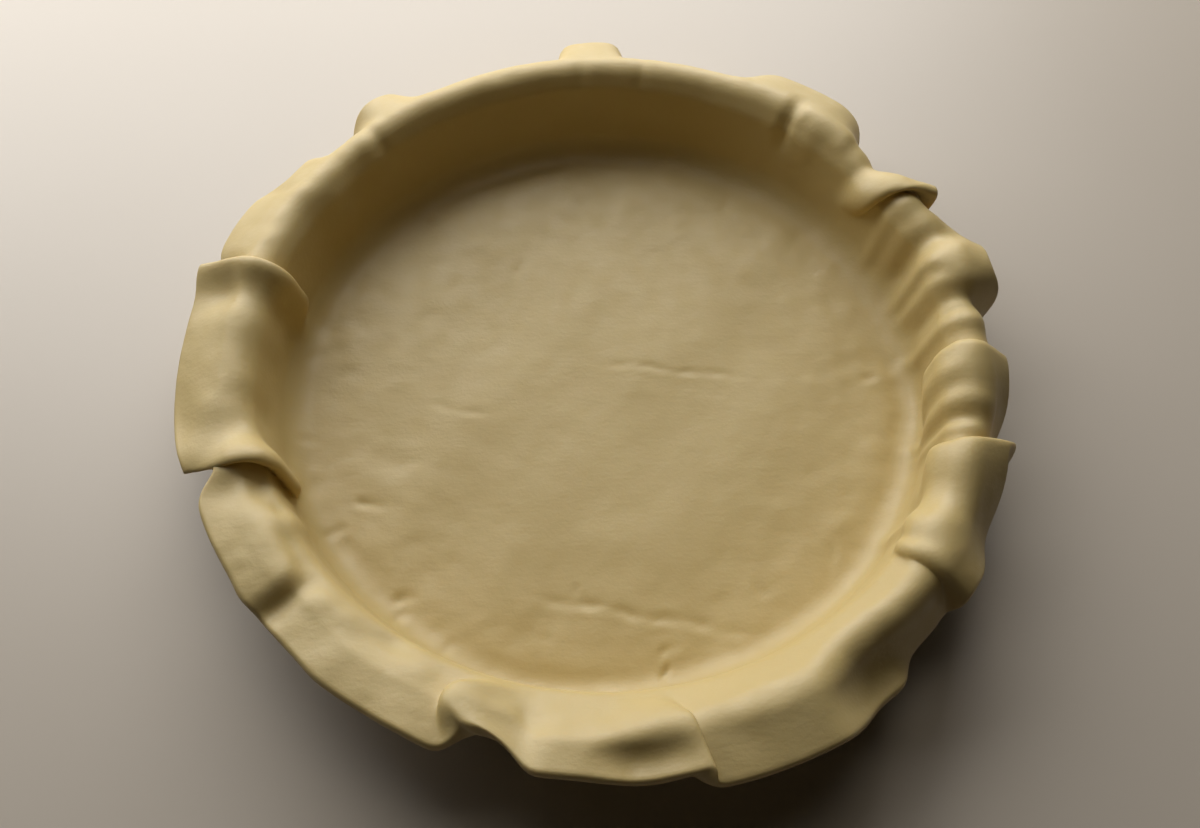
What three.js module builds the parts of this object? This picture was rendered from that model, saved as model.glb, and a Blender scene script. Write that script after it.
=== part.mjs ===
// A round shallow tart tin lined with a sheet of raw pastry. The sheet lies flat on the floor, turns up the
// wall, rolls over the rim and hangs outside it in lobes and leaning pleats.
// Millimetres, +Z up. The origin is the centre of the tin's underside and -Y is the front.
import * as THREE from 'three';

// Tin: a spun metal dish with a rounded corner and a rolled bead round its rim.
const SHEET = 0.8;
const BEAD_RADIUS = 2.2;
const BEAD_AT_R = 133.2;
const BEAD_AT_Z = 34.0;
const WALL_LEAN = THREE.MathUtils.degToRad(10.4);
const CORNER = 10.0;
const TIN_SIDES = 64;

// Pastry: a sheet of even thickness kept a little clear of the tin.
const GAP = 0.3;
const THICK = 4.4;
const FILLET = 14.0;
const ROLL = BEAD_RADIUS + GAP + THICK;
const FLOOR_Z = SHEET + GAP + THICK;
const TURN = Math.PI / 2 - WALL_LEAN;
const RIM_R = 135.0;
const CREST_AT = 12.5;
const SPAN = 40.0;
const HEM_ROUND = 1.5;
const HOLLOW = 0.8;
const LIP_LAG = 0.4;
const COLUMNS = 176;

// Where the sheet's upper face leaves the wall and starts to roll over the bead.
const TOP_R = BEAD_AT_R - ROLL * Math.cos(WALL_LEAN);
const TOP_Z = BEAD_AT_Z + ROLL * Math.sin(WALL_LEAN);
const WALL_LENGTH = (TOP_Z - FLOOR_Z - FILLET * (1 - Math.cos(TURN))) / Math.cos(WALL_LEAN);
const INNER_LENGTH = WALL_LENGTH + FILLET * TURN;
const BASE_R = TOP_R - WALL_LENGTH * Math.sin(WALL_LEAN) - FILLET * Math.sin(TURN);

// The plain overhang: radius of its two rolls, the slope of the brim that stands between them and how far
// it stands, the slope after the second roll and at the hem in degrees, and the length from the wall's top.
const SIZES = ['roll', 'rest', 'stand', 'slope', 'tip', 'length'];
const PLAIN = { roll: ROLL, rest: -52, stand: 2.8, slope: 80, tip: 84, length: 39, weight: 0.12 };

// Broad lobes of the overhang: angle and half width in degrees, then the same six sizes.
const LOBES = [
  { at: 307, half: 7, roll: 9, rest: -45, stand: 2, slope: 72, tip: -4, length: 42 },
  { at: 294, half: 8, roll: 13, rest: -47, stand: 12, slope: 3, tip: 5, length: 46 },
  { at: 284.5, half: 4, roll: 11, rest: -44, stand: 14, slope: 0, tip: 2, length: 45 },
  { at: 275, half: 6, roll: 8, rest: -38, stand: 17, slope: 8, tip: -24, length: 38 },
  { at: 266, half: 6, roll: 8, rest: -35, stand: 21, slope: -20, tip: -18, length: 37 },
  { at: 256.2, half: 4.4, roll: 8, rest: -40, stand: 13, slope: -12, tip: -12, length: 27 },
  { at: 238, half: 10, roll: 8, rest: -16, stand: 14, slope: -1, tip: -1, length: 30 },
  { at: 226, half: 6, roll: 8, rest: -16, stand: 9, slope: 2, tip: -8, length: 28 },
  { at: 209, half: 9.5, roll: 9, rest: -35, stand: 5, slope: -2, tip: -2, length: 28.5 },
  { at: 181, half: 14, roll: 9, rest: -45, stand: 0, slope: 22, tip: 32, length: 38 },
  { at: 155.5, half: 6.5, roll: 8, rest: -48, stand: 1.5, slope: 34, tip: 44, length: 43 },
  { at: 145, half: 3.6, roll: 8, rest: -50, stand: 1.5, slope: 24, tip: 40, length: 28.5 },
  { at: 92, half: 4.4, roll: 7, rest: -52, stand: 3, slope: 14, tip: 26, length: 32 },
  { at: 56, half: 8.5, roll: 8, rest: -50, stand: 3, slope: 18, tip: 42, length: 41 },
  { at: 355, half: 5, roll: 8, rest: -45, stand: 3.5, slope: 44, tip: 54, length: 36 },
  { at: 347, half: 4, roll: 7, rest: -45, stand: 2, slope: 76, tip: 82, length: 37 },
  { at: 337, half: 4, roll: 8, rest: -45, stand: 3.5, slope: 44, tip: 54, length: 36 },
  { at: 330, half: 5, roll: 9, rest: -45, stand: 1, slope: 64, tip: 74, length: 37 },
  { at: 18, half: 6, roll: 10, rest: -45, stand: 0, slope: 50, tip: 60, length: 38 },
];

// Pleats: the ridge's angle at the crest and its drift to the foot and to the hem in degrees; its rise on
// the wall, added roll, slope and trim at the hem; its widths behind and ahead; its lean along the rim,
// positive counter-clockwise; and how far from the crest it starts. Some have a narrower crown, a lip that
// lags less or a cut in the hem ahead of the lip.
const PLEATS = [
  {
    at: 31.6, foot: 5, hem: -3.6, rise: 5, roll: 1, slope: 12,
    trim: 10, behind: 5.5, ahead: 5.5, lean: -7, start: -30, crown: 4.5, cut: 8,
  },
  {
    at: 13, foot: 2, hem: -1.5, rise: 3, roll: 2, slope: 22,
    trim: 9, behind: 15, ahead: 8, lean: -4, start: -8,
  },
  {
    at: 359.7, foot: -2.5, hem: -1, rise: 5.5, roll: 1, slope: 28,
    trim: 8, behind: 9.5, ahead: 6, lean: 8, start: -38,
  },
  {
    at: 341.5, foot: -1.3, hem: 3.5, rise: 5, roll: 1, slope: 20,
    trim: 9, behind: 9.5, ahead: 6, lean: 8, start: -28,
  },
  {
    at: 322, foot: 1.2, hem: 0, rise: 3, roll: 3, slope: 26,
    trim: 3, behind: 12, ahead: 6.5, lean: -5, start: -22,
  },
  {
    at: 280, foot: -4.6, hem: 1.7, rise: 1.8, roll: 1, slope: -4,
    trim: 0, behind: 8, ahead: 6, lean: 6, start: -7,
  },
  {
    at: 251.3, foot: 7, hem: -1.5, rise: 4, roll: 2, slope: -18,
    trim: 0, behind: 8, ahead: 6, lean: -7, start: -7, crown: 6,
  },
  {
    at: 201.5, foot: 5.5, hem: -3.3, rise: 5.5, roll: 0, slope: 16,
    trim: 6, behind: 9, ahead: 5.6, lean: 12, start: -42, crown: 5, cut: 17,
  },
  {
    at: 165.2, foot: -1.5, hem: 0.5, rise: 5.5, roll: 0, slope: 22,
    trim: 0, behind: 8, ahead: 6, lean: -9, start: -42, crown: 4.4, lag: 0.2,
  },
  {
    at: 127.5, foot: 0, hem: 1, rise: 0, roll: 0.5, slope: 16,
    trim: 9, behind: 17, ahead: 13, lean: 1, start: -2,
  },
];

// Soft upright flutes of the wall: angle, drift to the foot, rise, half width, and where they end below and
// above.
const FLUTES = [
  { at: 28.5, foot: 0, rise: 1, half: 4, low: -28, high: 4 },
  { at: 20.5, foot: 0.5, rise: -2.4, half: 5, low: -34, high: 6 },
  { at: 12.5, foot: 1.5, rise: 0.8, half: 4, low: -30, high: 0 },
  { at: 4.6, foot: 1, rise: 1.2, half: 4, low: -28, high: 6 },
  { at: 350.4, foot: 1, rise: 1.8, half: 3.6, low: -28, high: 6 },
  { at: 333, foot: -0.5, rise: -1.8, half: 5, low: -32, high: 4 },
  { at: 328.6, foot: -0.6, rise: 1.3, half: 4, low: -28, high: 4 },
  { at: 212, foot: 0, rise: 2, half: 7, low: -30, high: 4 },
  { at: 190, foot: 0, rise: -1.5, half: 8, low: -34, high: 4 },
  { at: 175, foot: 0, rise: 1, half: 8, low: -34, high: 4 },
  { at: 146, foot: 0, rise: 1.5, half: 9, low: -34, high: 4 },
];

// Soft dents and swellings of the overhang: angle, distance from the crest, rise and two half widths.
const DENTS = [
  { at: 274.6, out: 16.5, rise: -2.6, half: 8, tall: 6 },
  { at: 258, out: 9, rise: -2, half: 5, tall: 9 },
  { at: 244, out: 3, rise: 1.2, half: 7, tall: 7 },
  { at: 238, out: -4, rise: -1.4, half: 7, tall: 6 },
  { at: 231, out: 2, rise: 1.2, half: 6, tall: 6 },
  { at: 227, out: 4, rise: 1.6, half: 6, tall: 7 },
  { at: 223.8, out: 18, rise: -3.6, half: 4.8, tall: 15 },
  { at: 218.8, out: 15, rise: 2.6, half: 5.5, tall: 15 },
  { at: 214, out: 13, rise: 2.2, half: 9, tall: 14 },
  { at: 204, out: 13, rise: -3.4, half: 8, tall: 14 },
  { at: 205, out: -3, rise: -2, half: 6, tall: 8 },
  { at: 191.4, out: 10, rise: 1.7, half: 7, tall: 12 },
  { at: 168.6, out: 14, rise: -2.4, half: 4, tall: 14 },
  { at: 37.6, out: 6, rise: -2.8, half: 5, tall: 14 },
  { at: 9.2, out: 9, rise: -2.6, half: 5, tall: 10 },
];

const rad = THREE.MathUtils.degToRad;
const deg = THREE.MathUtils.radToDeg;
const clamp = THREE.MathUtils.clamp;
const ease = (x) => THREE.MathUtils.smoothstep(x, 0, 1);
const wrap = (a) => THREE.MathUtils.euclideanModulo(a + Math.PI, 2 * Math.PI) - Math.PI;

// One at a ridge, falling off behind and ahead of it over that side's width.
const hump = (x, behind, ahead) => Math.exp(-(Math.abs(x / (x < 0 ? behind : ahead)) ** 2.4));

// The end of an arc that starts at (r, z) heading outward and down at a slope.
function arc(r, z, slope, curve, length) {
  const bend = Math.abs(curve) < 1e-6 ? 1e-6 : curve;
  const end = slope + bend * length;
  return [r + (Math.sin(end) - Math.sin(slope)) / bend, z + (Math.cos(end) - Math.cos(slope)) / bend, end];
}

// The overhang at one angle: the plain sizes mixed with those of the lobes near it.
function overhang(u) {
  let weight = PLAIN.weight;
  const mixed = SIZES.map((key) => PLAIN[key] * weight);
  for (const lobe of LOBES) {
    const share = Math.exp(-((deg(wrap(u - rad(lobe.at))) / lobe.half) ** 4));
    weight += share;
    SIZES.forEach((key, k) => { mixed[k] += share * lobe[key]; });
  }
  return mixed.map((value) => value / weight);
}

// One point of the sheet. v below 0 is the distance down the wall and over the floor; v from 0 to 1 runs
// from the wall's top over the rim to the hem. The underside lies one thickness below the upper face.
function sheet(u, v, under) {
  let [roll, rest, stand, slope, tip, length] = overhang(u);
  const fromCrest = (v < 0 ? v : v * SPAN) - CREST_AT;
  const toFoot = clamp(-fromCrest / (CREST_AT + INNER_LENGTH), 0, 1);
  const toHem = clamp(fromCrest / (SPAN - CREST_AT), 0, 1);
  let up = 0;
  let along = 0;
  for (const p of PLEATS) {
    const centre = rad(p.at + p.foot * toFoot + p.hem * toHem) - p.lean / RIM_R;
    let x = wrap(u - centre) * RIM_R * Math.sign(p.lean);
    if (under) x -= 0.2 * Math.abs(p.lean);
    const behind = under ? p.behind - 0.5 * THICK : p.behind;
    const ahead = under ? Math.max(p.ahead - 0.6 * THICK, 2.5) : p.ahead;
    const share = hump(x, behind, ahead);
    const grow = ease((fromCrest - p.start) / 18);
    roll += p.roll * share;
    slope += (p.slope - slope) * share;
    tip += (p.slope + 5 - tip) * share;
    length -= p.trim * share + (p.cut ?? 0) * Math.exp(-(((x - 1.4 * ahead) / ahead) ** 2));
    const lift = under ? HOLLOW * share : hump(x + (p.lag ?? LIP_LAG) * ahead, p.crown ?? behind, ahead);
    up += lift * grow * p.rise * (1 - 0.6 * toHem);
    if (!under) along += share * grow * p.lean;
  }
  for (const f of FLUTES) {
    const x = (wrap(u - rad(f.at + f.foot * toFoot)) * RIM_R) / f.half;
    up += f.rise * Math.exp(-x * x) * ease((fromCrest - f.low) / 14) * ease((f.high + 8 - fromCrest) / 14);
  }
  for (const d of DENTS) {
    const x = (wrap(u - rad(d.at)) * RIM_R) / d.half;
    up += d.rise * Math.exp(-x * x - ((fromCrest - d.out) / d.tall) ** 2);
  }
  let r, z, s;
  if (v < 0) {
    const straight = Math.min(-v, WALL_LENGTH);
    const bent = clamp(-v - WALL_LENGTH, 0, FILLET * TURN);
    const [back, low, end] = arc(0, TOP_Z - straight * Math.cos(WALL_LEAN), TURN, -1 / FILLET, bent);
    r = TOP_R - straight * Math.sin(WALL_LEAN) - back - Math.max(-v - INNER_LENGTH, 0);
    z = low;
    s = -end;
  } else {
    const go = v * length;
    const first = roll * (TURN + rad(rest));
    const second = Math.min(roll * rad(slope - rest), length * 0.98 - first - stand);
    const left = length - first - stand - second;
    const bend = (rad(tip - rest) - second / roll) / (left + 6);
    [r, z, s] = arc(TOP_R, TOP_Z, -TURN, 1 / roll, Math.min(go, first));
    [r, z, s] = arc(r, z, s, 0, clamp(go - first, 0, stand));
    [r, z, s] = arc(r, z, s, 1 / roll, clamp(go - first - stand, 0, second));
    [r, z, s] = arc(r, z, s, bend, Math.max(go - length + left, 0));
  }
  if (under) {
    const flat = ease((fromCrest - 3) / 8) * (1 - ease((deg(s) - 25) / 30));
    up = Math.max(up, 0) + Math.min(up, 0) * flat - THICK;
  }
  r += Math.sin(s) * up;
  z += Math.cos(s) * up;
  const turn = u + along / RIM_R;
  return new THREE.Vector3(r * Math.cos(turn), r * Math.sin(turn), z);
}

// Angles of the columns round the sheet, closer together at the pleats.
function columnAngles(count) {
  const steps = 3600;
  const sums = [0];
  for (let i = 0; i < steps; i += 1) {
    const u = ((i + 0.5) / steps) * 2 * Math.PI;
    let near = 0;
    for (const p of PLEATS) {
      const off = wrap(u - rad(p.at + p.foot / 3)) * RIM_R + p.lean;
      if (p.rise > 2) near += Math.exp(-((off / 13) ** 2));
    }
    sums.push(sums[i] + 1 + 2.2 * Math.min(near, 1));
  }
  const angles = [];
  let i = 0;
  for (let k = 0; k < count; k += 1) {
    const goal = (k / count) * sums[steps];
    while (sums[i + 1] <= goal) i += 1;
    angles.push(((i + (goal - sums[i]) / (sums[i + 1] - sums[i])) / steps) * 2 * Math.PI);
  }
  return angles;
}

// A closed skin through rings of points, from one pole to the other. A ring may have half or double the
// points of the one before.
function skin(firstPole, rings, lastPole) {
  const positions = [];
  const index = [];
  const put = (p) => positions.push(p.x, p.y, p.z) / 3 - 1;
  const first = put(firstPole);
  const ids = rings.map((ring) => ring.map(put));
  const last = put(lastPole);
  const n0 = ids[0].length;
  for (let j = 0; j < n0; j += 1) index.push(first, ids[0][j], ids[0][(j + 1) % n0]);
  for (let k = 0; k + 1 < ids.length; k += 1) {
    const a = ids[k];
    const b = ids[k + 1];
    const steps = Math.min(a.length, b.length);
    const fa = a.length / steps;
    const fb = b.length / steps;
    for (let j = 0; j < steps; j += 1) {
      const a0 = a[j * fa];
      const a1 = a[((j + 1) * fa) % a.length];
      const b0 = b[j * fb];
      const b1 = b[((j + 1) * fb) % b.length];
      if (fa === 2) {
        const am = a[j * 2 + 1];
        index.push(a0, b0, am, am, b0, b1, am, b1, a1);
      } else if (fb === 2) {
        const bm = b[j * 2 + 1];
        index.push(a0, b0, bm, a0, bm, a1, a1, bm, b1);
      } else {
        index.push(a0, b0, b1, a0, b1, a1);
      }
    }
  }
  const tail = ids[ids.length - 1];
  for (let j = 0; j < tail.length; j += 1) index.push(last, tail[(j + 1) % tail.length], tail[j]);
  const geometry = new THREE.BufferGeometry();
  geometry.setAttribute('position', new THREE.Float32BufferAttribute(positions, 3));
  geometry.setIndex(index);
  geometry.computeVertexNormals();
  return geometry;
}

// The pastry: upper face from the centre out to the hem, the rounded hem, and the underside back in.
function pastryGeometry() {
  const angles = columnAngles(COLUMNS);
  const every = (stride) => angles.filter((_, k) => k % stride === 0);
  const ring = (v, stride, under) => every(stride).map((u) => sheet(u, v, under));
  const flat = (radius) => -(INNER_LENGTH + BASE_R - radius);
  const upper = [[flat(28), 16], [flat(62), 8], [flat(92), 4], [-INNER_LENGTH, 2]];
  for (const share of [0.67, 0.33, 0]) upper.push([-WALL_LENGTH - FILLET * TURN * share, 2]);
  for (const share of [0.7, 0.42, 0.18]) upper.push([-WALL_LENGTH * share, 1]);
  for (const v of [0, 0.08, 0.16, 0.25, 0.34, 0.43, 0.52, 0.61, 0.7, 0.8, 0.9, 1]) upper.push([v, 1]);
  const lower = [];
  for (const v of [1, 0.86, 0.72, 0.59, 0.47, 0.36, 0.26, 0.17, 0.08, 0]) lower.push([v, 1]);
  for (const share of [0.5, 1]) lower.push([-WALL_LENGTH * share, 2]);
  for (const share of [0.5, 1]) lower.push([-WALL_LENGTH - FILLET * TURN * share, 2]);
  lower.push([flat(92), 4], [flat(62), 8], [flat(28), 16]);
  const top = upper.map(([v, stride]) => ring(v, stride, false));
  const bottom = lower.map(([v, stride]) => ring(v, stride, true));
  const edge = top[top.length - 1];
  const before = top[top.length - 2];
  const hem = edge.map((p, k) => {
    const reach = Math.hypot(p.x, p.y);
    const run = reach - Math.hypot(before[k].x, before[k].y);
    const outward = new THREE.Vector3((p.x / reach) * run, (p.y / reach) * run, p.z - before[k].z);
    return p.clone().add(bottom[0][k]).multiplyScalar(0.5).add(outward.setLength(HEM_ROUND));
  });
  const above = new THREE.Vector3(0, 0, FLOOR_Z);
  const below = new THREE.Vector3(0, 0, FLOOR_Z - THICK);
  return skin(above, [...top, hem, ...bottom], below);
}

// The tin: floor, rounded corner, leaning wall and the bead, turned round the axis.
function tinGeometry() {
  const profile = [new THREE.Vector2(0, 0)];
  const bendArc = (r, z, radius, from, to, steps) => {
    for (let k = 0; k <= steps; k += 1) {
      const a = from + ((to - from) * k) / steps;
      profile.push(new THREE.Vector2(r + radius * Math.cos(a), z + radius * Math.sin(a)));
    }
  };
  const wallTop = BEAD_AT_R - BEAD_RADIUS / Math.cos(WALL_LEAN);
  const wallAt = (z) => wallTop - (BEAD_AT_Z - z) * Math.tan(WALL_LEAN);
  const cornerR = wallAt(SHEET) - CORNER * Math.tan(TURN / 2);
  const cornerZ = SHEET + CORNER;
  const join = Math.acos((BEAD_RADIUS - SHEET) / BEAD_RADIUS);
  bendArc(cornerR, cornerZ, CORNER + SHEET, -Math.PI / 2, -WALL_LEAN, 4);
  bendArc(BEAD_AT_R, BEAD_AT_Z, BEAD_RADIUS, -Math.PI - WALL_LEAN + join, Math.PI - WALL_LEAN, 10);
  bendArc(cornerR, cornerZ, CORNER, -WALL_LEAN, -Math.PI / 2, 4);
  profile.push(new THREE.Vector2(0, SHEET));
  const geometry = new THREE.LatheGeometry(profile, TIN_SIDES);
  geometry.rotateX(Math.PI / 2);
  return geometry;
}

const dough = new THREE.Mesh(
  pastryGeometry(),
  new THREE.MeshStandardMaterial({ color: 0xe6d3a2, roughness: 0.62, metalness: 0 }),
);
dough.name = 'dough';

const tin = new THREE.Mesh(
  tinGeometry(),
  new THREE.MeshStandardMaterial({ color: 0xa9abad, roughness: 0.38, metalness: 1 }),
);
tin.name = 'tin';

const tart = new THREE.Group();
tart.add(tin, dough);
export default tart;
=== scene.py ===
"""A round tart tin lined with a sheet of raw pastry, on a pale table top beside a window."""

import bpy
import numpy as np
from mathutils import Matrix, Vector


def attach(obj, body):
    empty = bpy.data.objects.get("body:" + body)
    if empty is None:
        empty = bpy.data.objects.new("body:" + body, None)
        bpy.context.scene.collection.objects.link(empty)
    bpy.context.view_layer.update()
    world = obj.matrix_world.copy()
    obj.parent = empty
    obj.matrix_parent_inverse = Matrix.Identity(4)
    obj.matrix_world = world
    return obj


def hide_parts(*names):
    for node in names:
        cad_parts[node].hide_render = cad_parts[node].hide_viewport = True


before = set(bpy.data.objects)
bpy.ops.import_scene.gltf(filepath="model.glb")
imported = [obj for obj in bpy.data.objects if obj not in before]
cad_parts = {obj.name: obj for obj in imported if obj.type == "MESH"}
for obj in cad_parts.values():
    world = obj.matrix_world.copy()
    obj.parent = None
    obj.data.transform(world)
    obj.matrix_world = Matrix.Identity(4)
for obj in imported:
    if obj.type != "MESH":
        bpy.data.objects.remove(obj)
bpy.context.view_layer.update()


# Tin
# A shallow round dish spun from one sheet of tinned steel: a flat floor, a round corner, a wall that leans
# out and a bead rolled over at the rim. The pastry lies over it, so only its outside is seen, from below.

# Sizes are in millimetres and radians: r runs out from the axis, z up from the table.
tin_sheet = 0.8
tin_corner = 10.0
wall_lean = np.radians(10.4)
wall_turn = np.pi / 2 - wall_lean
bead_radius = 2.2
bead_r = 133.2
bead_z = 34.0
to_metres = 0.001

corner_points = 9
bead_points = 29
straight_steps = 8
tin_columns = 256

tin_dull = (0.46, 0.46, 0.45)
tin_bright = (0.66, 0.66, 0.65)


def bend(r, z, radius, start, stop, steps):
    """Points of a bend: the centre (r, z) plus the radius turned from the start to the stop angle."""
    angle = np.linspace(start, stop, steps)
    return np.stack([r + radius * np.cos(angle), z + radius * np.sin(angle)], -1)


def tin_profile():
    """Outline from the axis along the underside, round the bead and back: lines and circular bends."""
    wall_foot = bead_r - bead_radius / np.cos(wall_lean) - (bead_z - tin_sheet) * np.tan(wall_lean)
    corner_r = wall_foot - tin_corner * np.tan(wall_turn / 2)
    corner_z = tin_sheet + tin_corner
    meet = np.arccos((bead_radius - tin_sheet) / bead_radius)
    outer = bend(corner_r, corner_z, tin_corner + tin_sheet, -np.pi / 2, -wall_lean, corner_points)
    bead = bend(bead_r, bead_z, bead_radius, meet - np.pi - wall_lean, np.pi - wall_lean, bead_points)
    inner = bend(corner_r, corner_z, tin_corner, -wall_lean, -np.pi / 2, corner_points)
    middle = np.array([0, tin_sheet])
    spread = np.linspace(0, 1, straight_steps, endpoint=False)[:, None]
    within = np.linspace(0, 1, straight_steps)[1:-1, None]
    floor_out = spread * outer[0]
    wall_out = outer[-1] + (bead[0] - outer[-1]) * within
    wall_in = bead[-1] + (inner[0] - bead[-1]) * within
    floor_in = inner[-1] * (1 - spread[1:]) + middle * spread[1:]
    return np.concatenate([floor_out, outer, wall_out, bead, wall_in, inner, floor_in, [middle]])


def round_quads(rings, around, first=0):
    """Four-cornered faces between rings of the same count, closed round: ring i with ring i + 1."""
    i, j = np.meshgrid(np.arange(rings - 1), np.arange(around), indexing="ij")
    k = (j + 1) % around
    faces = np.stack([i * around + j, i * around + k, (i + 1) * around + k, (i + 1) * around + j], -1)
    return faces.reshape(-1, 4) + first


def shaped(name, points, quads, triangles):
    """A smooth mesh piece at the origin from points in millimetres and faces of four and three corners."""
    corners = np.concatenate([quads.ravel(), triangles.ravel()])
    sizes = np.concatenate([np.full(len(quads), 4), np.full(len(triangles), 3)])
    mesh = bpy.data.meshes.new(name)
    mesh.vertices.add(len(points))
    mesh.vertices.foreach_set("co", (points * to_metres).ravel())
    mesh.loops.add(len(corners))
    mesh.loops.foreach_set("vertex_index", corners)
    mesh.polygons.add(len(sizes))
    mesh.polygons.foreach_set("loop_start", np.cumsum(sizes) - sizes)
    mesh.polygons.foreach_set("use_smooth", np.ones(len(sizes), bool))
    mesh.update(calc_edges=True)
    piece = bpy.data.objects.new(name, mesh)
    bpy.context.collection.objects.link(piece)
    return piece


def turned(profile, around):
    """A profile carried round the axis: radius times cosine and sine of the angle. Its two ends lie on the
    axis and are single points."""
    angle = np.linspace(0, 2 * np.pi, around, endpoint=False)
    r, z = profile[1:-1, 0, None], profile[1:-1, 1, None]
    rings = np.stack([r * np.cos(angle), r * np.sin(angle), z + 0 * angle], -1)
    ends = np.array([[0, 0, profile[0, 1]], [0, 0, profile[-1, 1]]])
    count = len(rings) * around
    step = np.arange(around)
    after = (step + 1) % around
    last = count - around
    caps = np.concatenate([
        np.stack([np.full(around, count), after, step], -1),
        np.stack([np.full(around, count + 1), last + step, last + after], -1),
    ])
    return np.concatenate([rings.reshape(-1, 3), ends]), round_quads(len(rings), around), caps


def place(tree, kind, x, y, **settings):
    """One node of a material at a place in its picture, with its settings."""
    node = tree.nodes.new(kind)
    node.location = (x, y)
    for key, value in settings.items():
        setattr(node, key, value)
    return node


def uneven_group():
    """Soft cloudy unevenness: a noise of the given scale and detail, whose middle range is stretched to run
    from a low to a high value."""
    tree = bpy.data.node_groups.new("soft unevenness", "ShaderNodeTree")
    tree.interface.new_socket("Vector", in_out="INPUT", socket_type="NodeSocketVector")
    for name in ("Scale", "Detail", "Low", "High"):
        tree.interface.new_socket(name, in_out="INPUT", socket_type="NodeSocketFloat")
    tree.interface.new_socket("Value", in_out="OUTPUT", socket_type="NodeSocketFloat")
    inside = place(tree, "NodeGroupInput", -600, 0)
    noise = place(tree, "ShaderNodeTexNoise", -380, 0)
    spread = place(tree, "ShaderNodeMapRange", -160, 0)
    outside = place(tree, "NodeGroupOutput", 60, 0)
    spread.inputs["From Min"].default_value = 0.3
    spread.inputs["From Max"].default_value = 0.7
    for name in ("Vector", "Scale", "Detail"):
        tree.links.new(inside.outputs[name], noise.inputs[name])
    tree.links.new(inside.outputs["Low"], spread.inputs["To Min"])
    tree.links.new(inside.outputs["High"], spread.inputs["To Max"])
    tree.links.new(noise.outputs["Fac"], spread.inputs["Value"])
    tree.links.new(spread.outputs["Result"], outside.inputs["Value"])
    return tree


uneven = uneven_group()


def unevenness(tree, vector, scale, detail, low, high, x, y):
    """The soft unevenness placed in one material with that material's own values."""
    node = place(tree, "ShaderNodeGroup", x, y, node_tree=uneven)
    for name, value in (("Scale", scale), ("Detail", detail), ("Low", low), ("High", high)):
        node.inputs[name].default_value = value
    tree.links.new(vector, node.inputs["Vector"])
    return node.outputs["Value"]


def fine_noise(tree, vector, scale, detail, x, y):
    """A plain noise of the given scale and detail over some coordinates."""
    node = place(tree, "ShaderNodeTexNoise", x, y)
    node.inputs["Scale"].default_value = scale
    node.inputs["Detail"].default_value = detail
    tree.links.new(vector, node.inputs["Vector"])
    return node.outputs["Fac"]


def emboss(tree, shader, height, strength, distance):
    """Fine relief on a finish: its normal tilted by the slope of a height, which reaches the distance in
    metres."""
    node = place(tree, "ShaderNodeBump", -250, -400)
    node.inputs["Strength"].default_value = strength
    node.inputs["Distance"].default_value = distance
    tree.links.new(height, node.inputs["Height"])
    tree.links.new(node.outputs[0], shader.inputs["Normal"])


def finish_of(name):
    """A new material with its nodes, its shader and its Object coordinates."""
    material = bpy.data.materials.new(name)
    material.use_nodes = True
    tree = material.node_tree
    where = place(tree, "ShaderNodeTexCoord", -1400, 0)
    return material, tree, tree.nodes["Principled BSDF"], where.outputs["Object"]


def between(tree, low, high, factor, x, y):
    """A colour mixed between a low and a high one by a factor."""
    node = place(tree, "ShaderNodeMix", x, y, data_type="RGBA")
    # the Mix node's sockets for numbers and colours share their names, so these are told apart by number
    factor_in, low_in, high_in, colour_out = 0, 6, 7, 2
    node.inputs[low_in].default_value = (*low, 1)
    node.inputs[high_in].default_value = (*high, 1)
    tree.links.new(factor, node.inputs[factor_in])
    return node.outputs[colour_out]


def tinned_steel():
    """Spun tinned steel: fine turning lines, cloudy tarnish and a soft shine. The lines are a noise read at
    the distance from the axis and the height, so that they run round."""
    material, tree, shader, where = finish_of("tinned steel")
    parts = place(tree, "ShaderNodeSeparateXYZ", -1200, -200)
    across = place(tree, "ShaderNodeCombineXYZ", -1200, -400)
    radius = place(tree, "ShaderNodeVectorMath", -1000, -400, operation="LENGTH")
    spin = place(tree, "ShaderNodeCombineXYZ", -800, -400)
    tree.links.new(where, parts.inputs[0])
    tree.links.new(parts.outputs["X"], across.inputs["X"])
    tree.links.new(parts.outputs["Y"], across.inputs["Y"])
    tree.links.new(across.outputs[0], radius.inputs[0])
    tree.links.new(radius.outputs["Value"], spin.inputs["X"])
    tree.links.new(parts.outputs["Z"], spin.inputs["Z"])
    lines = fine_noise(tree, spin.outputs[0], scale=2500, detail=2, x=-600, y=-400)
    emboss(tree, shader, lines, strength=0.25, distance=0.00008)
    tarnish = unevenness(tree, where, scale=30, detail=4, low=0.1, high=0.9, x=-500, y=100)
    dullness = unevenness(tree, where, scale=60, detail=3, low=0.28, high=0.46, x=-500, y=-150)
    shade = between(tree, tin_dull, tin_bright, tarnish, x=-200, y=100)
    tree.links.new(shade, shader.inputs["Base Color"])
    tree.links.new(dullness, shader.inputs["Roughness"])
    shader.inputs["Metallic"].default_value = 1.0
    return material


tin = shaped("tin_dish", *turned(tin_profile(), tin_columns))
tin.data.materials.append(tinned_steel())
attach(tin, "root")
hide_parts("tin")


# Pastry
# One sheet of raw shortcrust, rolled out a little over four millimetres thick and laid over the tin. It is
# pressed flat on the floor and up the wall. Its spare edge rolls over the bead and hangs outside it, in
# broad lobes and leaning pleats.

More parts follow.
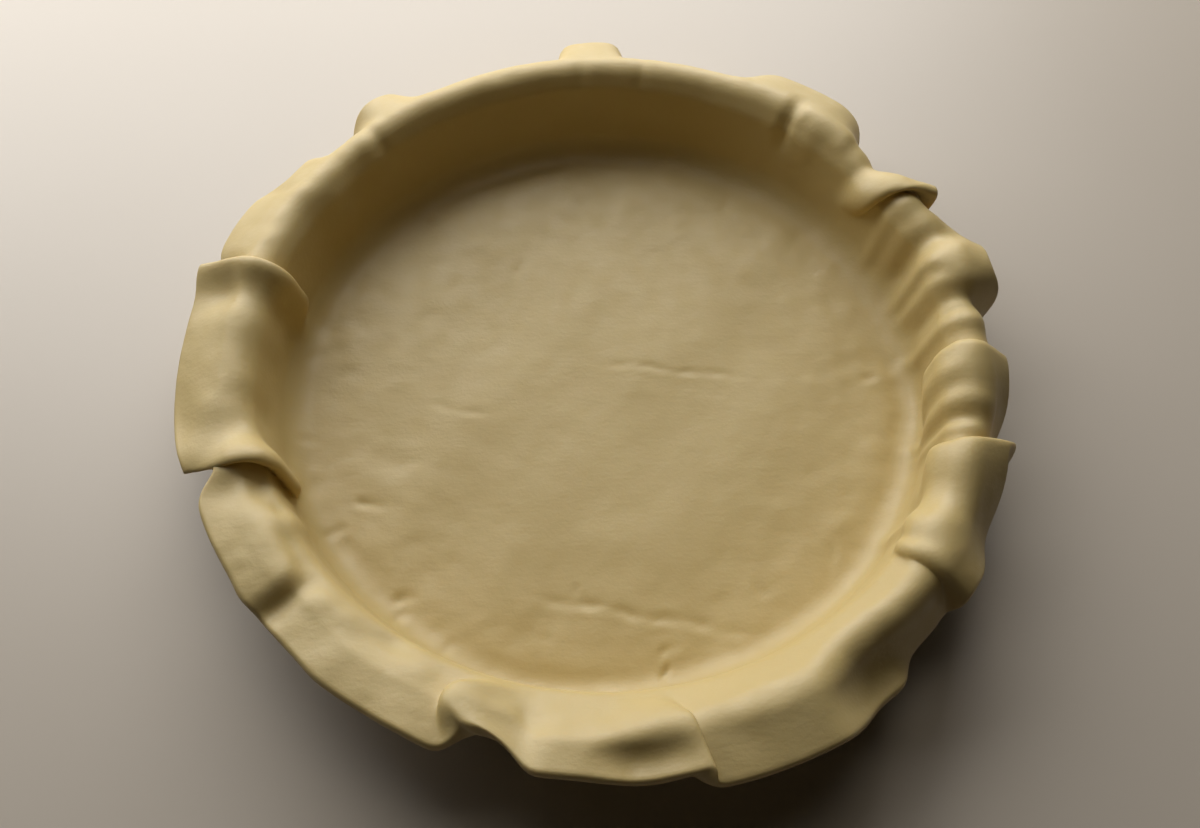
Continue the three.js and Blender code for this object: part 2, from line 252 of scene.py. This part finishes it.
# Sizes of the sheet's upper face. Places on it are given by the angle round the tin in degrees and by the
# way from the rim's crest in millimetres: below zero down the wall to the base, above zero out to the hem.
# From the wall's top, the crest is counted at crest_at and the hem at span, whatever a lobe's own length.
gap = 0.3
thick = 4.4
fillet = 11.0
least_roll = bead_radius + gap + thick
floor_z = tin_sheet + gap + thick
rim_r = 135.0
crest_at = 12.5
span = 40.0
top_r = bead_r - least_roll * np.cos(wall_lean)
top_z = bead_z + least_roll * np.sin(wall_lean)
wall_length = (top_z - floor_z - fillet * (1 - np.cos(wall_turn))) / np.cos(wall_lean)
inner_length = wall_length + fillet * wall_turn
base_r = top_r - wall_length * np.sin(wall_lean) - fillet * np.sin(wall_turn)

# The plain overhang and its broad lobes. Each gives the roll's radius, the slope up to which it first rolls
# and the straight length that stands up at that slope, the slope after the second roll, the slope at the hem
# and the length from the wall's top. A lobe has its angle and half width in degrees before them.
plain_overhang = (least_roll, -52, 2.8, 80, 84, 39)
plain_weight = 0.12
lobes = (
    (315, 5, 7, -45, 8.5, 72, 52, 42),
    (305, 6, 8, -45, 5, 62, -36, 40),
    (294, 8, 13, -47, 12, 3, 5, 46),
    (284.5, 4, 11, -44, 14, 0, 2, 45),
    (275, 6, 8, -38, 17, 13, -30, 38),
    (266, 6, 8, -35, 21, -20, -18, 37),
    (256.2, 4.4, 8, -40, 13, -22, -24, 27),
    (247.5, 4.6, 8, -26, 12, -21, -10, 33.2),
    (238, 9, 8, -26, 12, -21, -8, 31.5),
    (226, 6, 8, -24, 8, -16, -6, 28.5),
    (209, 9.5, 9, -35, 5, -3, -3, 28.5),
    (181, 14, 9, -45, 0, 22, 32, 38),
    (155.5, 6.5, 8, -48, 1.5, 28, 38, 43.5),
    (145, 3.6, 8, -50, 1.5, 24, 40, 28.5),
    (92, 4.4, 7, -52, 3, 14, 26, 32),
    (56, 8.5, 8, -50, 3, 18, 42, 41),
    (354.5, 5, 7.5, -45, 2.5, 78, 84, 33),
    (347, 4, 7, -45, 2, 76, 82, 37),
    (337, 4, 8, -45, 3.5, 54, 64, 34),
    (329, 5.5, 8, -45, 4, 56, 70, 37),
    (38.5, 4, 7, -45, 0, 76, 80, 38),
    (18, 6, 10, -45, 0, 46, 56, 38),
)
# The rolls and the stand take at most this share of the length, and the last bend would reach the hem's
# slope only this far past the hem.
rolled_share = 0.98
hem_past = 6

# Pleats. Each has its ridge's angle at the crest, with its drift in degrees to the foot and to the hem; its
# rise, added roll, slope and trim; its widths behind and ahead of the ridge; its lean along the rim; and how
# far from the crest it starts. Some have more: bow is the drift halfway to the hem, crown the lift's own
# width behind, lag how far the lift peaks behind the carry in widths ahead, tight what the second roll's
# radius loses, cut a notch in the hem with its place ahead and half width, and fill the underside's share
# of the lift.
pleats = (
    dict(at=31.6, foot=5, hem=-3.2, rise=5, roll=1, slope=18, trim=12, behind=5.5, ahead=5.5, lean=-7,
         start=-30, crown=4.5, cut=8),
    dict(at=13.4, foot=2, hem=0.5, rise=3, roll=2, slope=18, trim=9, behind=11, ahead=11, lean=-3,
         start=-8),
    dict(at=359.7, foot=-2.5, hem=-1, rise=5.5, roll=1, slope=28, trim=8, behind=14, ahead=6, lean=8,
         start=-38, tight=3),
    dict(at=341.5, foot=-1.3, hem=3.5, rise=5, roll=1, slope=20, trim=9, behind=12, ahead=6, lean=8,
         start=-28, tight=3),
    dict(at=322, foot=1.2, hem=0, rise=3, roll=3, slope=26, trim=3, behind=12, ahead=6.5, lean=-5,
         start=-22),
    dict(at=280, foot=-4.6, hem=1.7, rise=3, roll=1, slope=-4, trim=0, behind=8, ahead=6, lean=7,
         start=-7),
    dict(at=251.3, foot=7, hem=1.8, rise=4, roll=2, slope=-25, trim=0, behind=8, ahead=6, lean=-7,
         start=-7, bow=-2.6, crown=6),
    dict(at=221.4, foot=1, hem=-0.5, rise=4.2, roll=0, slope=-2, trim=0, behind=26, ahead=5.4, lean=2,
         start=-3),
    dict(at=201.5, foot=5.5, hem=-3.3, rise=5.5, roll=0, slope=16, trim=6, behind=9, ahead=5.6, lean=12,
         start=-42, crown=5, cut=10, cut_at=16, cut_wide=6.5),
    dict(at=165.2, foot=-1.5, hem=0.5, rise=5.5, roll=0, slope=22, trim=0, behind=8, ahead=6, lean=-9,
         start=-42, crown=4.4, lag=0.2, fill=0.35),
    dict(at=127.5, foot=0, hem=1, rise=0, roll=0.5, slope=16, trim=9, behind=17, ahead=13, lean=1,
         start=-2),
)
usual_lag = 0.4
usual_fill = 0.8
usual_cut_at = 1.4
# The way over which a pleat grows, the power by which it falls off to its sides, by how many degrees its hem
# is steeper than its slope, and the share of its lift that is lost at the hem.
pleat_growth = 18
pleat_power = 2.4
pleat_droop = 5
hem_fade = 0.6
# On the underside a pleat lies farther ahead by a share of its lean, and is narrower behind and ahead by
# shares of the thickness, down to a least width.
under_lead = 0.2
under_behind = 0.5
under_ahead = 0.6
least_ahead = 2.5

# Soft upright flutes of the wall: angle, drift to the foot, rise, half width, and where they end below and
# above.
flutes = (
    (28.5, 0, 1, 4, -44, 4),
    (20.8, 0.5, -2.8, 5, -40, 12),
    (16.8, 0.4, 1.0, 3.5, -46, 2),
    (12.5, 1.5, 1.1, 4, -46, 0),
    (9, 0.8, -1.1, 3.5, -40, 0),
    (7, -0.6, -0.7, 1.1, -14, -1),
    (4.6, 1, 1.5, 4, -48, 6),
    (352.6, -2.6, 1, 3, -44, 2),
    (350.9, -2.2, -0.7, 2.4, -38, 0),
    (349.1, -2, 1.6, 3.4, -48, 6),
    (347, -1.2, -0.9, 2.6, -36, 3),
    (345.4, -0.6, 1, 3, -46, 2),
    (333, -0.5, -1.8, 5, -38, 4),
    (328.6, -0.6, 1.6, 4, -46, 4),
    (325.8, 0, -0.8, 2.5, -24, 4),
    (212, 0, 2, 7, -30, 4),
    (146, 0, 1.5, 9, -34, 4),
    (190, 0, -1.5, 8, -34, 4),
    (175, 0, 1, 8, -34, 4),
    (133, -0.6, -0.8, 3, -22, 6),
    (136, -0.6, 0.4, 3, -20, 6),
    (94, 0.5, -0.7, 3, -24, 4),
    (83, 0.5, -0.6, 2.6, -20, 4),
    (55, -0.5, -1.8, 3, -26, 4),
    (50, 0, 0.6, 5, -26, 4),
)
flute_fade = 14
flute_past = 8

# Soft dents and swellings of the overhang and of the base's corner: angle, distance from the crest, rise,
# and half widths round the rim and across it.
dents = (
    (274.4, 21.6, -2.5, 10, 6),
    (260.6, 14, -2.6, 5, 10),
    (238, -4, -1.4, 7, 6),
    (231, 2, 1.2, 6, 6),
    (244, 3, 1.2, 7, 7),
    (227, 4, 1.6, 6, 7),
    (223.6, 22, -2.4, 4, 16),
    (204, 13, -2.5, 8, 14),
    (205, -3, -2, 6, 8),
    (210, -6, -1.2, 5, 4),
    (190, 10, 1.6, 8, 12),
    (193, 10, -2.2, 3.8, 16),
    (171.5, 14, -4, 4, 14),
    (37.6, 6, -2.8, 5, 14),
    (9.2, 9, -2.6, 5, 10),
    (258, -41, -2.6, 32, 7),
    (355, -41, -2.4, 32, 7),
    (322, -40, -1.2, 28, 6),
    (190, -42, 1.2, 40, 8),
    (30, -42, 1, 40, 8),
)
# The underside follows the dents only where the sheet hangs free: from so far past the crest, over so many
# millimetres, and up to so steep a slope, over so many degrees.
free_from = 3
free_over = 8
steep_from = 25
steep_over = 30

# Wide swells and ripples of the base: height, and length by x and y, with the swells' shifts.
swell_height, swell_x, swell_y = 0.28, 19, 15
swell_shift_x, swell_shift_y = 0.8, -0.4
ripple_height, ripple_x, ripple_y = 0.18, 9, 13

# A raised and a pressed spot of the base: place, rise and half widths by x and y.
spots = (
    (6, -61, 0.5, 16, 9),
    (-79, -29, -0.6, 9, 6),
)

# Creases and finger marks of the base: place, direction in degrees, half length, half width and depth.
creases = (
    (14, -90, -10.4, 38, 1.3, 0.55),
    (26, 11, -6.5, 28, 1.1, 0.3),
    (-55, -7, -12, 12, 1.1, 0.28),
    (-34, 59, 60, 4, 1.6, 0.35),
    (51.6, 91, 20, 4, 1.4, 0.3),
    (-86.8, -46.4, -8, 5, 1.2, 0.85),
    (-99.4, -58.5, 42, 4.5, 1.4, 1.15),
    (-71, -84.4, 5, 4, 1.4, 0.95),
    (-74, -92, 55, 4.5, 1.5, 1),
    (-55.7, -103, 62, 4, 1.4, 0.85),
    (23.5, -103, 14, 4, 1.2, 0.65),
    (21.6, -111, 48, 3.2, 0.8, 0.9),
    (82.7, -69, 80, 7, 1.3, 0.3),
    (-10, -81.4, 85, 3.2, 0.9, 0.4),
    (-7, -83.6, 85, 2.4, 0.9, 0.35),
    (56.5, -80.6, -30, 4, 1.2, 0.3),
    (104, 7, 15, 4, 1.2, 0.35),
    (-113, -21, 12, 5, 1.3, 0.45),
)
crease_widening = 1.4
crease_deepening = 1.1
crease_lip = 0.25
crease_lip_off = 1.9
# A crease wanders sideways by a broad and a fine wave, and its depth changes by another: height and rate.
wander_broad, wander_broad_rate = 0.4, 0.21
wander_fine, wander_fine_rate = 0.12, 0.83
depth_change, depth_rate = 0.3, 0.47

# Lumps of the whole upper face: step and turn of their lattice, height and seed. They grow stronger towards
# the base's edge, where the fingers pressed it.
lump_layers = (
    (4.3, 0.5, 0.036, 3),
    (7.9, 1.1, 0.085, 7),
    (15, 0.2, 0.09, 11),
)
lattice_points = 90
lattice_middle = 44
lump_share_inside = 0.7
lump_share_added = 0.9
lump_grow_from = 55
lump_grow_over = 50

# The mesh: cells of the base's disc, steps up the sheet on both faces and round the hem, how far the cut hem
# bulges, and how the columns crowd together beside the pleats.
disc_cells = 176
disc_start = 5 * np.pi / 4
fillet_steps = 10
wall_steps = 14
rim_steps = 36
under_rim_steps = 17
under_wall_steps = 5
under_fillet_steps = 5
hem_steps = 7
hem_bulge = 1.6
crowd_reach = 13
crowding = 1.3
crowd_samples = 7201

pastry_deep = (0.55, 0.412, 0.165)
pastry_pale = (0.585, 0.447, 0.19)


def ease(x):
    """Zero below 0, one above 1, and three squares less two cubes between."""
    x = np.clip(x, 0, 1)
    return x * x * (3 - 2 * x)


def apart(a, b):
    """Signed angle from b to a, within half a turn."""
    return (a - b + np.pi) % (2 * np.pi) - np.pi


def arc(r, z, slope, curve, length):
    """The end of an arc that leaves (r, z) outward and down at a slope, which grows by the curve with its
    length. Radius and height change by the differences of the slope's sine and cosine over the curve."""
    least_curve = 1e-6
    curve = np.where(np.abs(curve) < least_curve, least_curve, curve)
    end = slope + curve * length
    return r + (np.sin(end) - np.sin(slope)) / curve, z + (np.cos(end) - np.cos(slope)) / curve, end


def overhang(u):
    """The plain overhang mixed with each lobe's own. A lobe's weight is e to the minus fourth power of the
    angle from it over its half width."""
    weight = np.full_like(u, plain_weight)
    mixed = [weight * value for value in plain_overhang]
    for at, half, *own in lobes:
        share = np.exp(-(np.degrees(apart(u, np.radians(at))) / half) ** 4)
        weight = weight + share
        mixed = [sofar + share * value for sofar, value in zip(mixed, own)]
    return [value / weight for value in mixed]


def hump(x, behind, ahead):
    """One at the ridge, falling off on each side as e to the minus a power of the distance over that side's
    width."""
    return np.exp(-np.abs(x / np.where(x < 0, behind, ahead)) ** pleat_power)


def ways(out):
    """Shares of the way from the crest down to the wall's foot and out to the hem."""
    to_foot = np.clip(-out / (crest_at + inner_length), 0, 1)
    to_hem = np.clip(out / (span - crest_at), 0, 1)
    return to_foot, to_hem


def pleated(u, out, under):
    """The overhang after the pleats, and how far they lift the sheet and carry it along the rim. Each pleat
    is a hump across its ridge that grows from its start. It mixes in its own slope and shortens the hem. Its
    lift peaks behind its carry, so that the lip is round, and fades towards the hem."""
    roll, rest, stand, slope, tip, length = overhang(u)
    to_foot, to_hem = ways(out)
    lift = np.zeros_like(u)
    carry = np.zeros_like(u)
    tight = np.zeros_like(u)
    for pleat in pleats:
        bowed = pleat.get("bow", 0) * 4 * to_hem * (1 - to_hem)
        drift = pleat["foot"] * to_foot + pleat["hem"] * to_hem + bowed
        centre = np.radians(pleat["at"] + drift) - pleat["lean"] / rim_r
        x = apart(u, centre) * rim_r * np.sign(pleat["lean"])
        behind, ahead = pleat["behind"], pleat["ahead"]
        if under:
            x = x - under_lead * abs(pleat["lean"])
            behind = behind - under_behind * thick
            ahead = max(ahead - under_ahead * thick, least_ahead)
        share = hump(x, behind, ahead)
        roll = roll + pleat["roll"] * share
        tight = tight + pleat.get("tight", 0) * share
        slope = slope + (pleat["slope"] - slope) * share
        tip = tip + (pleat["slope"] + pleat_droop - tip) * share
        cut_at = pleat.get("cut_at", usual_cut_at * ahead)
        notch = np.exp(-((x - cut_at) / pleat.get("cut_wide", ahead)) ** 2)
        length = length - pleat["trim"] * share - pleat.get("cut", 0) * notch
        grown = ease((out - pleat["start"]) / pleat_growth)
        rise = grown * pleat["rise"] * (1 - hem_fade * to_hem)
        if under:
            lift += share * rise * pleat.get("fill", usual_fill)
        else:
            lag = pleat.get("lag", usual_lag) * ahead
            lift += hump(x + lag, pleat.get("crown", behind), ahead) * rise
            carry += share * grown * pleat["lean"]
    return (roll, tight, rest, stand, slope, tip, length), lift, carry


def pressed(u, out):
    """The lift of flutes and dents: a bell curve round the rim, times eased ends for a flute and a second
    bell across the rim for a dent."""
    to_foot = ways(out)[0]
    lift = np.zeros_like(u)
    for at, foot, rise, half, low, high in flutes:
        x = apart(u, np.radians(at + foot * to_foot)) * rim_r / half
        ends = ease((out - low) / flute_fade) * ease((high + flute_past - out) / flute_fade)
        lift += rise * np.exp(-x ** 2) * ends
    for at, far, rise, half, tall in dents:
        x = apart(u, np.radians(at)) * rim_r / half
        lift += rise * np.exp(-x ** 2 - ((out - far) / tall) ** 2)
    return lift


def over_rim(share, roll, tight, rest, stand, slope, tip, length):
    """Radius, height and slope at a share of the overhang: an arc from the wall to the slope of rest, a
    straight stand, an arc to the next slope, and a slow bend towards the hem's own slope."""
    rest, slope, tip = np.radians(rest), np.radians(slope), np.radians(tip)
    go = share * length
    crest = roll - tight
    first = roll * (wall_turn + rest)
    second = np.minimum(crest * (slope - rest), length * rolled_share - first - stand)
    left = length - first - stand - second
    last_curve = (tip - rest - second / crest) / (left + hem_past)
    r, z, tilt = arc(top_r, top_z, -wall_turn, 1 / roll, np.minimum(go, first))
    r, z, tilt = arc(r, z, tilt, 0 * go, np.clip(go - first, 0, stand))
    r, z, tilt = arc(r, z, tilt, 1 / crest, np.clip(go - first - stand, 0, second))
    return arc(r, z, tilt, last_curve, np.maximum(go - length + left, 0))


def down_wall(down):
    """Radius, height and slope after some way down the inside: the straight wall, the fillet's arc, then the
    flat base."""
    straight = np.minimum(down, wall_length)
    bent = np.clip(down - wall_length, 0, fillet * wall_turn)
    back, z, tilt = arc(0, top_z - straight * np.cos(wall_lean), wall_turn, -1 / fillet, bent)
    r = top_r - straight * np.sin(wall_lean) - back - np.maximum(down - inner_length, 0)
    return r, z, -tilt


def lumps(x, y, step, turn, seed):
    """Soft random lumps: chance heights on a turned square lattice of the given step, eased between its
    points."""
    heights = np.random.default_rng(seed).standard_normal((lattice_points, lattice_points))
    i = (x * np.cos(turn) + y * np.sin(turn)) / step + lattice_middle
    j = (y * np.cos(turn) - x * np.sin(turn)) / step + lattice_middle
    i0, j0 = np.floor(i).astype(int), np.floor(j).astype(int)
    s, t = ease(i - i0), ease(j - j0)
    low = heights[i0, j0] * (1 - s) + heights[i0 + 1, j0] * s
    high = heights[i0, j0 + 1] * (1 - s) + heights[i0 + 1, j0 + 1] * s
    return low * (1 - t) + high * t


def kneaded(x, y):
    """Unevenness of the whole upper face: the sum of its layers of lumps, times a share that grows towards
    the base's edge."""
    lumpy = sum(height * lumps(x, y, step, turn, seed) for step, turn, height, seed in lump_layers)
    outer = ease((np.hypot(x, y) - lump_grow_from) / lump_grow_over)
    return lumpy * (lump_share_inside + lump_share_added * outer)


def base_relief(x, y):
    """Low relief of the base: swells and ripples as sines, spots as bell curves, and creases whose wandering
    groove of uneven depth has a raised lip along one side."""
    height = swell_height * np.sin(x / swell_x + swell_shift_x) * np.sin(y / swell_y + swell_shift_y)
    height += ripple_height * np.sin(x / ripple_x - y / ripple_y)
    for at_x, at_y, rise, half_x, half_y in spots:
        height += rise * np.exp(-((x - at_x) / half_x) ** 2 - ((y - at_y) / half_y) ** 2)
    for at_x, at_y, turn, half, width, depth in creases:
        turn = np.radians(turn)
        along = (x - at_x) * np.cos(turn) + (y - at_y) * np.sin(turn)
        off = ((y - at_y) * np.cos(turn) - (x - at_x) * np.sin(turn)) / (width * crease_widening)
        off = off + wander_broad * np.sin(along * wander_broad_rate + at_x)
        off = off + wander_fine * np.sin(along * wander_fine_rate + at_y)
        uneven_depth = 1 - depth_change + depth_change * np.sin(along * depth_rate + at_y)
        groove = np.exp(-off ** 2) - crease_lip * np.exp(-(off + crease_lip_off) ** 2)
        height -= crease_deepening * depth * uneven_depth * np.exp(-(along / half) ** 4) * groove
    return height


def sheet(u, v, under):
    """Points of the sheet's upper face or its underside. v below 0 is the way down the wall and over the
    base in millimetres; v from 0 to 1 is the share of the overhang. The lift is added square to the slope,
    the carry to the angle, and the low relief to the height. The underside lies one thickness below."""
    out = np.where(v < 0, v, v * span) - crest_at
    down = np.maximum(-v, 0)
    folds, lift, carry = pleated(u, out, under)
    lift = lift + pressed(u, out)
    outside = over_rim(np.maximum(v, 0), *folds)
    r, z, tilt = [np.where(v < 0, one, other) for one, other in zip(down_wall(down), outside)]
    if under:
        steep = ease((np.degrees(tilt) - steep_from) / steep_over)
        free = ease((out - free_from) / free_over) * (1 - steep)
        lift = np.maximum(lift, 0) + np.minimum(lift, 0) * free - thick
    r = r + np.sin(tilt) * lift
    z = z + np.cos(tilt) * lift
    turn = u + carry / rim_r
    x, y = r * np.cos(turn), r * np.sin(turn)
    if not under:
        on_base = ease((down - wall_length) / (fillet * wall_turn))
        z = z + base_relief(x, y) * on_base + kneaded(x, y)
    return np.stack([x, y, z], -1)


def column_angle(turn):
    """The sheet's angle for an even angle: even steps of a sum that grows faster beside the pleats."""
    u = disc_start + np.linspace(0, 2 * np.pi, crowd_samples)
    ridges = [np.radians(pleat["at"]) for pleat in pleats]
    near = sum(np.exp(-(apart(u, ridge) * rim_r / crowd_reach) ** 2) for ridge in ridges)
    total = np.cumsum(1 + crowding * np.minimum(near, 1))
    total = (total - total[0]) / (total[-1] - total[0])
    return np.interp((turn - disc_start) / (2 * np.pi), total, u)


def round_disc(cells):
    """A square grid pressed round: each square ring becomes a circle, its points spread evenly in angle.
    Gives each point's share of the radius, angle and number, and the outer ring's numbers, which run
    counter-clockwise."""
    a, b = np.meshgrid(np.linspace(-1, 1, cells + 1), np.linspace(-1, 1, cells + 1))
    flat = np.abs(b) >= np.abs(a)
    share = np.maximum(np.abs(a), np.abs(b))
    by_side = np.where(flat, 0, b / np.where(a == 0, 1, a))
    by_top = np.where(flat, a / np.where(b == 0, 1, b), 0)
    sideways = np.where(a > 0, 0, np.pi) + np.pi / 4 * by_side
    upright = np.where(b > 0, np.pi / 2, 3 * np.pi / 2) - np.pi / 4 * by_top
    turn = np.where(flat, upright, sideways)
    turn = np.where(turn < disc_start - 1e-9, turn + 2 * np.pi, turn)
    index = np.arange((cells + 1) ** 2).reshape(cells + 1, cells + 1)
    edge = np.concatenate([index[0, :-1], index[:-1, -1], index[-1, :0:-1], index[:0:-1, 0]])
    return share, turn, index, edge


def base_disc(cells, under):
    """The base as a round grid of the sheet, whose angles go from even ones at the middle to the columns'
    own at the edge."""
    share, turn, index, edge = round_disc(cells)
    warped = turn + share * (column_angle(turn) - turn)
    return sheet(warped, -(inner_length + base_r * (1 - share)), under), index, edge


def round_hem(before, upper, lower):
    """Rings of the cut hem: half an ellipse from the upper edge to the lower one, bulging the way the sheet
    runs."""
    middle, reach = (upper + lower) / 2, (upper - lower) / 2
    outward = upper - before
    outward = hem_bulge * outward / np.linalg.norm(outward, axis=-1, keepdims=True)
    angle = np.linspace(0, np.pi, hem_steps + 1)[1:-1, None, None]
    return middle + reach * np.cos(angle) + outward * np.sin(angle)


def grid_quads(index):
    """Four-cornered faces between neighbours in a grid of point numbers."""
    return np.stack([index[:-1, :-1], index[:-1, 1:], index[1:, 1:], index[1:, :-1]], -1).reshape(-1, 4)


def strip(one, other):
    """Four-cornered faces between two rings of the same count."""
    return np.stack([one, np.roll(one, -1), np.roll(other, -1), other], -1)


def halving(wide, narrow):
    """Triangles between a ring and the next one that has half its points."""
    a0, am, a1 = wide[0::2], wide[1::2], np.roll(wide[0::2], -1)
    b0, b1 = narrow, np.roll(narrow, -1)
    return np.concatenate([np.stack(t, -1) for t in ((a0, am, b0), (am, b1, b0), (am, a1, b1))])


def pastry_mesh():
    """The sheet as one closed skin: the base's disc, rings up the wall and over the rim, the round hem, and
    the underside back in to a disc, with half as many points round."""
    around = 4 * disc_cells
    u = column_angle(disc_start + 2 * np.pi * np.arange(around) / around)
    half = u[::2]
    fillet_length = fillet * wall_turn
    fillet_rows = -wall_length - fillet_length * np.linspace(1, 0, fillet_steps + 1)[1:]
    wall_rows = -wall_length * np.linspace(1, 0, wall_steps + 1)[1:-1]
    rim_rows = np.linspace(0, 1, rim_steps + 1)
    top = sheet(*np.meshgrid(u, np.concatenate([fillet_rows, wall_rows, rim_rows])), False)
    under_rim = np.linspace(1, 0, under_rim_steps + 1)
    under_wall = -wall_length * np.linspace(0, 1, under_wall_steps + 1)[1:]
    under_fillet = -wall_length - fillet_length * np.linspace(0, 1, under_fillet_steps + 1)[1:-1]
    low = sheet(*np.meshgrid(half, np.concatenate([under_rim, under_wall, under_fillet])), True)
    low_edge = sheet(*np.meshgrid(u, np.ones(1)), True)[0]
    hem = round_hem(top[-2], top[-1], low_edge)
    disc, disc_index, disc_edge = base_disc(disc_cells, False)
    small, small_index, small_edge = base_disc(disc_cells // 2, True)
    points = np.concatenate([part.reshape(-1, 3) for part in (disc, top, hem, low, small)])
    wide_first = disc_index.size
    wide = np.arange((len(top) + len(hem)) * around).reshape(-1, around) + wide_first
    narrow_first = wide_first + wide.size
    narrow = np.arange(len(low) * len(half)).reshape(-1, len(half)) + narrow_first
    small_first = narrow_first + narrow.size
    quads = np.concatenate([
        grid_quads(disc_index),
        strip(disc_edge, wide[0])[:, ::-1],
        round_quads(len(wide), around, wide_first)[:, ::-1],
        round_quads(len(narrow), len(half), narrow_first)[:, ::-1],
        strip(narrow[-1], small_edge + small_first)[:, ::-1],
        grid_quads(small_index + small_first)[:, [0, 3, 2, 1]],
    ])
    return points, quads, halving(wide[-1], narrow[0])[:, ::-1]


def raw_pastry():
    """Raw butter pastry: cream yellow with paler and deeper clouds, fine streaks left by the rolling pin,
    tiny pores, and a faint greasy shine. The relief is the sum of streaks and pores."""
    material, tree, shader, where = finish_of("raw pastry")
    clouds = unevenness(tree, where, scale=28, detail=5, low=0, high=1, x=-600, y=300)
    dullness = unevenness(tree, where, scale=120, detail=3, low=0.42, high=0.56, x=-600, y=50)
    cream = between(tree, pastry_deep, pastry_pale, clouds, x=-300, y=300)
    stretch = place(tree, "ShaderNodeMapping", -1100, -300)
    stretch.inputs["Scale"].default_value = (0.35, 1, 1)
    tree.links.new(where, stretch.inputs["Vector"])
    streaks = fine_noise(tree, stretch.outputs[0], scale=420, detail=3, x=-800, y=-300)
    pores = fine_noise(tree, where, scale=700, detail=4, x=-800, y=-550)
    both = place(tree, "ShaderNodeMath", -500, -400, operation="ADD")
    tree.links.new(streaks, both.inputs[0])
    tree.links.new(pores, both.inputs[1])
    emboss(tree, shader, both.outputs[0], strength=0.25, distance=0.0003)
    tree.links.new(cream, shader.inputs["Base Color"])
    tree.links.new(dullness, shader.inputs["Roughness"])
    shader.inputs["Specular IOR Level"].default_value = 0.6
    shader.inputs["Subsurface Weight"].default_value = 0.12
    shader.inputs["Subsurface Radius"].default_value = (1.0, 0.6, 0.25)
    shader.inputs["Subsurface Scale"].default_value = 0.003
    return material


pastry = shaped("pastry_sheet", *pastry_mesh())
pastry.data.materials.append(raw_pastry())
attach(pastry, "root")
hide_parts("dough")


# Table top
# A plain pale laminate that the tin stands on, smooth and a little satin. It is only the floor of the
# picture, so it is one flat sheet that runs out past every edge of it.
table_half = 2500
table_points_along = 11
table_shade = (0.6, 0.528, 0.438)
table_light = (0.62, 0.548, 0.458)


def pale_laminate():
    """Pale satin laminate: one warm white with a very faint cloudiness."""
    material, tree, shader, where = finish_of("pale laminate")
    clouds = unevenness(tree, where, scale=6, detail=4, low=0, high=1, x=-600, y=200)
    shade = between(tree, table_shade, table_light, clouds, x=-300, y=200)
    tree.links.new(shade, shader.inputs["Base Color"])
    shader.inputs["Roughness"].default_value = 0.45
    shader.inputs["Specular IOR Level"].default_value = 0.9
    return material


table_side = np.linspace(-table_half, table_half, table_points_along)
table_x, table_y = np.meshgrid(table_side, table_side)
table_points = np.stack([table_x, table_y, np.zeros_like(table_x)], -1).reshape(-1, 3)
table_quads = grid_quads(np.arange(table_x.size).reshape(table_x.shape))
no_triangles = np.zeros((0, 3), int)
table = shaped("table_top", table_points, table_quads, no_triangles)
table.data.materials.append(pale_laminate())


# Light
# One window close behind the table, a little to the left, throws long soft shadows towards the front. The
# ceiling and the room give back a faint warm glow.
window_turn = np.radians(108)
window_far = 0.6
window_low = 0.04
window_top = 0.94
window_wide = 1.2
window_watts = 12.6
glow_at = (0, 0.6, 1.65)
glow_wide = 0.9
glow_watts = 2.4
glow_colour = (1.0, 0.9, 0.75)
room_colour = (1.0, 0.86, 0.6, 1)
room_strength = 0.01

window = bpy.data.lights.new("window", "AREA")
window.shape = "RECTANGLE"
window.size = window_wide
window.size_y = window_top - window_low
window.energy = window_watts
window_place = bpy.data.objects.new("window", window)
window_face = Vector((-np.cos(window_turn), -np.sin(window_turn), 0))
window_place.location = -window_far * window_face + Vector((0, 0, (window_low + window_top) / 2))
window_place.rotation_euler = window_face.to_track_quat("-Z", "Y").to_euler()
bpy.context.collection.objects.link(window_place)
glow = bpy.data.lights.new("ceiling glow", "AREA")
glow.size = glow_wide
glow.energy = glow_watts
glow.color = glow_colour
glow_place = bpy.data.objects.new("ceiling glow", glow)
glow_place.location = glow_at
bpy.context.collection.objects.link(glow_place)
room = bpy.data.worlds.new("room")
room.use_nodes = True
room_light = room.node_tree.nodes["Background"]
room_light.inputs["Color"].default_value = room_colour
room_light.inputs["Strength"].default_value = room_strength
bpy.context.scene.world = room


# Camera
# Held above the front edge at arm's length, looking down at about sixty-two degrees on the middle of the
# base, with a phone's slightly wide lens.
look_down = np.radians(62.1)
look_at_x = -0.0011
look_at_y = -0.006
eye_far = 0.508
lens_length = 39.0
nearest_seen = 0.01

eye = Vector((look_at_x, look_at_y - eye_far * np.cos(look_down), eye_far * np.sin(look_down)))
lens = bpy.data.cameras.new("camera")
lens.lens = lens_length
lens.clip_start = nearest_seen
camera = bpy.data.objects.new("camera", lens)
camera.matrix_world = Matrix.Translation(eye) @ Matrix.Rotation(np.pi / 2 - look_down, 4, "X")
bpy.context.collection.objects.link(camera)
bpy.context.scene.camera = camera
bpy.context.scene.view_settings.view_transform = "Standard"
